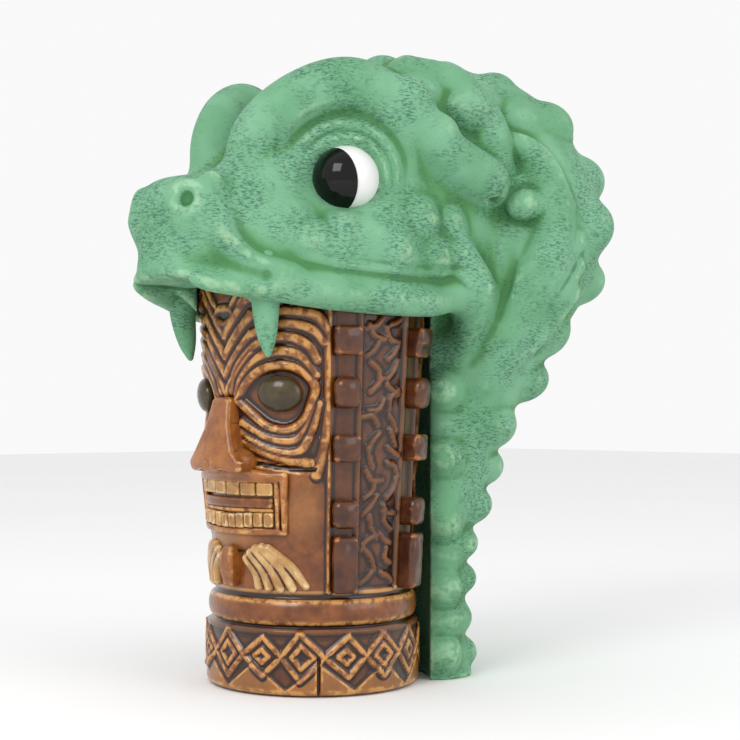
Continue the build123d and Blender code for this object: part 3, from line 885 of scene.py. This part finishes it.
def carving(angle, z):
    """How far the carving stands proud of the plain outside, and how dark (+) or pale (-) its glaze is; the
    pale strip on the ledge atop the roll is a painted highlight.
    """
    side = np.abs(angle)
    s = side * DEGREE
    ridge = np.zeros(np.broadcast(s, z).shape)
    for lines, half_width, height in RIDGES:
        ridge = np.maximum(ridge, height * bead(s, z, lines, half_width))
    ridge = np.maximum(ridge, 1.2 * bead(s, z, lattice, 1.5, steps=1) * (z < LATTICE_TOP))
    face = between(side, -60, 56.5, 2) * between(z, 93, 141, 2)
    strap = sum(between(side, *edges, 1.5) for edges in STRAPS) * between(z, 37.5, 149, 1.5)
    panel = sum(between(side, *edges, 1.5) for edges in PANELS) * between(z, 38, 149, 1.5)
    eye_socket = oval(s, z, (30, 107), (14.5, 11.5))
    cheek = oval(s, z, (46, 67), (10, 17))
    cheek = cheek * cheek * (3 - 2 * cheek)
    chin = oval(s, z, (0, 56), (20, 4.5))
    sawtooth = np.abs((side + HILL_PITCH / 2) % HILL_PITCH / (HILL_PITCH / 2) - 1)
    hill = np.clip((HILL_LOW + HILL_RISE * sawtooth - z) / 0.8, 0, 1) * (z > 0.8)
    upper_band = between(z, 20.5, 24, 1)
    low_band = between(z, 0, 22.5, 1)
    height = (
        ridge - 0.5 * face - 0.55 * strap - 0.55 * panel - 1.5 * eye_socket + 1.5 * cheek + 0.8 * chin
        - 0.35 * low_band + 0.75 * hill
        - 1.3 * bead(s, z, cheek_slit, 0.9) - 1.5 * bead(s, z, band_slit, 0.8)
    )
    flat = 1 - np.clip(ridge / 0.6, 0, 1)
    tone = flat * (0.35 * face + 0.7 * upper_band + 0.45 * low_band * (1 - hill)) + 0.6 * strap + 0.5 * panel
    # the last term is a painted highlight: a pale strip on the upward ledge atop the roll
    tone = tone - 0.3 * cheek * flat - 0.4 * chin - 0.35 * hill * flat - 0.9 * between(z, 35.8, 37.8, 0.6)
    return height * np.clip((RIM - 0.5 - z) / 2, 0, 1) * np.clip(z / 0.8, 0, 1), tone


# ---- Tumbler: the turned body with its carving ----
SIDE = 80  # the columns are closer together up to this angle each side of the front
OUTSIDE_TOP = (148.2, 148.9, 149.5, 149.85)
INSIDE_TOP, RIM_FLARE = (150, 149.6, 148.6), (1.6, 0.5, 0)
INSIDE_BOTTOM, FLOOR_ROUNDING = (11, 9, 8.2), (1.0, 2.6, 5.5)


def tumbler_mesh():
    """Closed: foot, carved outside, rim, plain inside and floor."""
    coarse = 1
    front = np.arange(-SIDE, SIDE, 0.62 * coarse)
    back = np.arange(SIDE, 360 - SIDE, 1.35 * coarse)
    angles = np.concatenate([front, back])
    angles = np.where(angles > 180, angles - 360, angles)
    foot_levels = np.linspace(0, WALL_START, 62 // coarse)
    wall_levels = np.linspace(36.9, 147.5, 166 // coarse)
    levels = np.concatenate([foot_levels, wall_levels, OUTSIDE_TOP])
    height, tone = carving(angles[None, :], levels[:, None])
    outer = outside_radius(levels)[:, None] + height
    inner_levels = np.concatenate([INSIDE_TOP, np.linspace(144, 14, 8), INSIDE_BOTTOM])
    slope = (WALL_HIGH - WALL_LOW) / (RIM - MUG_FLOOR)
    inner = WALL_HIGH - WALL_THICKNESS - slope * (RIM - inner_levels)
    inner[:3] += RIM_FLARE
    inner[-3:] -= FLOOR_ROUNDING
    turns = np.radians(angles)
    rows = [(np.full(len(turns), BAND_RADIUS - 3.6), 0.0, tone[0])]
    rows += [(outer[index], level, tone[index]) for index, level in enumerate(levels)]
    rows += [(np.full(len(turns), radius), level, 0 * turns) for radius, level in zip(inner, inner_levels)]
    points = [(0, 0, 0)]
    tones = [0.0]
    for radius, level, shade in rows:
        points += list(zip(radius * np.sin(turns), -radius * np.cos(turns), np.full(len(turns), level)))
        tones += list(shade)
    points.append((0, 0, MUG_FLOOR))
    tones.append(0.0)
    count = len(turns)
    columns = np.arange(count)
    onward = (columns + 1) % count
    faces = [np.column_stack([0 * columns, 1 + onward, 1 + columns, 1 + columns])]
    for index in range(len(rows) - 1):
        low, high = 1 + index * count, 1 + (index + 1) * count
        faces.append(np.column_stack([low + columns, low + onward, high + onward, high + columns]))
    last, tip = 1 + (len(rows) - 1) * count, len(points) - 1
    faces.append(np.column_stack([last + columns, last + onward, 0 * columns + tip, 0 * columns + tip]))
    mesh = new_mesh("tumbler_carved", np.array(points), np.vstack(faces))
    store(mesh, "tone", np.array(tones, np.float32))
    mark_hollows(mesh, rounds=(5, 30), scale=(0.10, 0.7))
    return mesh


place_mesh(tumbler_mesh(), MUG, "tumbler", brown)


# ---- Ornaments on the wall ----
def rounded(dx, dy, dz, corner):
    """The distance to a box with rounded edges, from how far a place is beyond each pair of faces."""
    dx, dy, dz = dx + corner, dy + corner, dz + corner
    outside = np.sqrt(np.maximum(dx, 0) ** 2 + np.maximum(dy, 0) ** 2 + np.maximum(dz, 0) ** 2)
    return outside + np.minimum(np.maximum(dx, np.maximum(dy, dz)), 0) - corner


def slab(centre, half, corner):
    """A box with rounded edges."""
    centre, half = np.array(centre, float), np.array(half, float)

    def distance(x, y, z):
        sides = [np.abs(place - middle) - reach for place, middle, reach in zip((x, y, z), centre, half)]
        return rounded(*sides, corner)

    return distance, centre - half, centre + half


def wedge(rows, corner):
    """A block on the wall whose width and proudness change with height: rows of (z, half width, proud)."""
    rows = np.array(rows, float)

    def distance(x, y, z):
        width = np.interp(z, rows[:, 0], rows[:, 1])
        proud = np.interp(z, rows[:, 0], rows[:, 2])
        return rounded(np.abs(x) - width, y - proud, np.maximum(rows[0, 0] - z, z - rows[-1, 0]), corner)

    reach = rows[:, 1].max()
    return distance, np.array([-reach, -2, rows[0, 0]]), np.array([reach, rows[:, 2].max(), rows[-1, 0]])


EMBEDDED = 1.6  # ornaments reach this far into the wall
PROUDEST = 12.5  # and no further than this out of it
WALL_STEP = 0.4


def wrapped(name, low, high, build):
    """Builds clay in wall space with build(clay), then wraps its surface round the wall."""
    block = Clay((low[0], -EMBEDDED - 2 * WALL_STEP, low[1]), (high[0], PROUDEST, high[1]), WALL_STEP)
    build(block)
    block.carve(below(1, -EMBEDDED, (low[0], -9, low[1]), (high[0], -EMBEDDED, high[1])))
    flat, faces = surface(block.field, [axis[0] for axis in block.axes], WALL_STEP)
    turn = flat[:, 0] / WALL_GAUGE
    radius = wall_radius(flat[:, 2]) + flat[:, 1]
    points = np.column_stack([radius * np.sin(turn), -radius * np.cos(turn), flat[:, 2]])
    mesh = new_mesh(name, points, faces[:, ::-1])
    mark_hollows(mesh, rounds=(4, 25), scale=(0.08, 0.6))
    return mesh


NOSE_ROWS = (
    # z, half width, proud
    (80.5, 12.4, 9.4), (84, 12.6, 10), (88, 9.6, 9.2), (98, 5.8, 6), (107.5, 4.6, 3.4),
)


def nose(block):
    block.add(wedge(NOSE_ROWS, corner=1.6))
    for side in (-1, 1):
        wing = ball((side * 9.2, 2.0, 84.5), (4.4, 6.4, 4.2))
        nose_hole = ball((side * 5.2, 5.6, 80.6), (2.9, 3.2, 2.6))
        block.add(wing, 1.5)
        block.carve(nose_hole, 1.0)
    notch = tube(((0, 10.5, 79, 1.0), (0, 10.6, 84, 0.7)))
    block.carve(notch, 1.2)


MOUTH_RIMS = (
    # angle at the corners, bottom, top, half thickness
    (35.4, 58.9, 79.2, 1.5), (31.6, 59.6, 77.6, 1.0),
)


def mouth_lips(block):
    for corner, bottom, top, thick in MOUTH_RIMS:
        reach, thin = corner * DEGREE, 0.7 * thick
        block.add(tube((
            (-reach, 1.7, top, thick), (-reach, 1.2, bottom, thin), (0, 0.7, bottom - 0.5, thin),
            (reach, 1.2, bottom, thin), (reach, 1.7, top, thick), (-reach, 1.7, top, thick),
        )), 0.8)
    upper_lip = smooth_path((
        (-24, 1.5, 78, 1.3), (-12, 2.4, 80.2, 1.5), (0, 2.6, 80.6, 1.5), (12, 2.4, 80.2, 1.5),
        (24, 1.5, 78, 1.3),
    ))
    block.add(tube(upper_lip), 1.0)


TEETH_REACH = 30.0 * DEGREE
TOOTH_GAP = 0.32


def tooth_row(block, count, bottom, top, uneven):
    pitch = 2 * TEETH_REACH / count
    for index in range(count):
        wobble = uneven * math.sin(7.1 * index + 1.0)
        middle = (-TEETH_REACH + (index + 0.5) * pitch, 0.5, 0.5 * (top + bottom) + 0.4 * wobble)
        half = (0.5 * pitch - TOOTH_GAP, 2.1 + 0.3 * wobble, 0.5 * (top - bottom) - 0.3 * abs(wobble))
        block.add(slab(middle, half, corner=0.75))


def tongue(block):
    block.add(slab((0, 0.3, 69.3), (20.5, 1.9, 1.9), corner=1.2))
    block.add(slab((0, 0.3, 66.6), (20.5, 1.2, 0.7), corner=0.5))


def peg(block):
    block.add(wedge(((38.5, 2.6, 3.6), (44, 3.4, 4.6), (50.5, 3.2, 4.2), (53.5, 2.2, 3.0)), corner=1.4))


FAN_RIBS = (
    # root (angle, z), tip (angle, z), half thickness at the root and at the tip
    ((11.5, 49.0), (19.0, 39.2), 1.8, 1.6),
    ((14.5, 51.0), (25.5, 38.8), 1.9, 1.7),
    ((18.0, 52.4), (32.0, 38.8), 2.0, 1.8),
    ((22.0, 53.0), (39.0, 39.0), 2.0, 1.7),
    ((25.5, 52.8), (46.5, 39.6), 1.8, 1.4),
)
RIB_BOW = 2.6  # degrees that the middle of a rib is out of line with its ends


def fan(block, side):
    for root, tip, thick, thin in FAN_RIBS:
        middle = ((root[0] + tip[0]) / 2 + RIB_BOW, (root[1] + tip[1]) / 2)
        rows = [
            (side * angle * DEGREE, 0.5, z, thickness)
            for (angle, z), thickness in ((root, thick), (middle, thick + 0.15), (tip, thin))
        ]
        block.add(tube(smooth_path(rows, steps=4)), 0.9)


STUD_SHAPES = (
    # height, half length, half width, proud, corner
    (47.3, 10.3, 4.5, 4.9, 1.8), (65.5, 5.2, 4.7, 5.0, 2.4), (89.0, 4.9, 4.6, 4.6, 1.4),
    (109.0, 5.8, 4.4, 5.0, 3.0), (127.5, 5.4, 4.7, 4.4, 1.6),
)
DOMED_STUDS = (1, 3)  # rounder, on the front straps
HOOKED_STUD = 4  # undercut, on the back straps


def studs(block, angle, side):
    """One strap's studs; those on the back straps stand out further."""
    middle = side * angle * DEGREE
    front = angle < 90
    for index, (z, half_length, half_width, proud, corner) in enumerate(STUD_SHAPES):
        width = half_width * (1 if front else 0.92 + 0.06 * math.sin(5 * index))
        proud = proud if front else proud + 1.8
        block.add(slab((middle, 0.4 * proud - 0.6, z), (width, 0.6 * proud + 0.6, half_length), corner))
        swelling = (middle - 1.2, proud - 2.0, z + 0.25 * half_length)
        block.add(ball(swelling, (3.2, 2.6, 0.5 * half_length)), 2)
        if front and index in DOMED_STUDS:
            block.add(ball((middle, proud - 1.4, z + 0.6), (2.6, 1.9, 3.0)), 1.5)
        if not front and index == HOOKED_STUD:
            block.carve(slab((middle, proud + 1.2, z - 4.6), (6, 2.4, 3.4), corner=1.0), 1.5)


def tiki_eye(block, side):
    block.add(ball((side * 33 * DEGREE, -0.4, 108.5), (8.3, 3.7, 6.5)))


ornaments = [
    # node, slot, material, lowest (s, z), highest (s, z), build
    ("tiki_nose", "tan_glaze", tan, (-16, 76), (16, 110), nose),
    ("mouth_frame", "tan_glaze", tan, (-28, 55), (28, 84), mouth_lips),
    ("upper_teeth", "tan_glaze", bone, (-24, 69), (24, 81),
     partial(tooth_row, count=6, bottom=72.0, top=77.0, uneven=0.5)),
    ("lower_teeth", "tan_glaze", bone, (-24, 57), (24, 69),
     partial(tooth_row, count=10, bottom=60.2, top=65.8, uneven=0.9)),
    ("tongue_bar", "brown_glaze", brown, (-24, 63), (24, 74), tongue),
    ("chin_peg", "tan_glaze", tan, (-6, 36), (6, 56), peg),
]
pairs = (
    # node, slot, material, nearest and furthest s, lowest and highest z, build
    ("beard_fan", "cream_glaze", cream, (4, 40), (35, 57), fan),
    ("studs_front", "dark_glaze", umber, (40, 54), (34, 136), partial(studs, angle=67)),
    ("studs_back", "dark_glaze", umber, (72, 86), (34, 136), partial(studs, angle=113)),
    ("tiki_eye", "olive_glaze", olive, (12, 34), (99, 118), tiki_eye),
)
for node, slot, material, reaches, (bottom, top), build in pairs:
    for end, side in (("_left", 1), ("_right", -1)):
        first, last = sorted(side * reach for reach in reaches)
        one_side = partial(build, side=side)
        ornaments.append((node + end, slot, material, (first, bottom), (last, top), one_side))
for node, slot, material, low, high, build in ornaments:
    place_mesh(wrapped(node + "_carved", low, high, build), MUG, node, material)

# ---- Serpent: fangs ----
FANG_STEP = 0.5
fang = smooth_path((
    (26, -43, 155, 5.2), (25.5, -43, 147, 5.2), (25.2, -42.6, 138, 4.8), (24.4, -41.4, 129, 3.5),
    (23.6, -40.3, 122.4, 1.3),
))
for side, node in ((1, "fang_left"), (-1, "fang_right")):
    tooth = Clay((12, -60, 116), (34, -34, 160), FANG_STEP)
    tooth.add(tube(fang))
    tooth.soften(2)
    skin_points, faces = surface(tooth.field, [axis[0] for axis in tooth.axes], FANG_STEP)
    mesh = new_mesh(node + "_sculpt", skin_points * (side, 1, 1), faces if side > 0 else faces[:, ::-1])
    mark_hollows(mesh, rounds=(4, 25), scale=(0.1, 1.0))
    place_mesh(mesh, SERPENT, node, green)

# ---- Kept CAD pieces and their materials ----
finishes = {
    "eyeball_left": eye_white, "eyeball_right": eye_white, "iris_left": eye_black, "iris_right": eye_black,
}
for node, material in finishes.items():
    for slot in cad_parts[node].material_slots:
        slot.material = material

# ---- Floor, light and camera ----
FLOOR_REACH = 3.0  # metres, as are all the places and sizes from here on
floor = bpy.data.meshes.new("floor")
corners = [(x * FLOOR_REACH, y * FLOOR_REACH, 0) for x, y in ((-1, -1), (1, -1), (1, 1), (-1, 1))]
floor.from_pydata(corners, [], [(0, 1, 2, 3)])
floor_piece = bpy.data.objects.new("floor", floor)
bpy.context.scene.collection.objects.link(floor_piece)
paper = Paint("floor_paper", roughness=0.9, specular=0.1)
floor.materials.append(paper.finish(paper.mix(paper.noise(400), (0.86, 0.86, 0.86), (0.9, 0.9, 0.9))))

world = bpy.data.worlds.new("studio")
bpy.context.scene.world = world
world.use_nodes = True
world.node_tree.nodes["Background"].inputs["Color"].default_value = (1, 1, 1, 1)
world.node_tree.nodes["Background"].inputs["Strength"].default_value = 0.95

AZIMUTH = math.radians(50)  # how far the camera stands to the right of the front
BACKWARDS = np.array([math.sin(AZIMUTH), -math.cos(AZIMUTH), 0.0])
RIGHTWARDS = np.array([math.cos(AZIMUTH), math.sin(AZIMUTH), 0.0])
LIT_POINT = Vector((0, 0, 0.12))


def area_light(name, across, back, height, size, power):
    """A square light placed by how far it is to the camera's right, towards the camera, and up."""
    light = bpy.data.lights.new(name, "AREA")
    light.shape = "SQUARE"
    light.size = size
    light.energy = power
    lamp = bpy.data.objects.new(name, light)
    place = RIGHTWARDS * across + BACKWARDS * back + np.array([0, 0, height])
    lamp.location = place
    aim = LIT_POINT - Vector(place)
    lamp.rotation_euler = aim.to_track_quat("-Z", "Y").to_euler()
    bpy.context.scene.collection.objects.link(lamp)


area_light("key", across=-0.5, back=0.8, height=0.75, size=0.5, power=5)
area_light("fill", across=0.9, back=0.6, height=0.45, size=0.7, power=2.5)

CAMERA_DISTANCE, CAMERA_HEIGHT = 0.574, 0.101
camera_data = bpy.data.cameras.new("camera")
camera_data.sensor_width = 36.0
camera_data.lens = 72.973
camera_data.shift_x, camera_data.shift_y = 0.0777, 0.0608  # in widths of the picture
camera_data.clip_start = 0.01
camera = bpy.data.objects.new("camera", camera_data)
camera.location = BACKWARDS * CAMERA_DISTANCE + np.array([0, 0, CAMERA_HEIGHT])
camera.rotation_euler = (math.pi / 2, 0, AZIMUTH)
bpy.context.scene.collection.objects.link(camera)
bpy.context.scene.camera = camera
bpy.context.scene.view_settings.view_transform = "Standard"
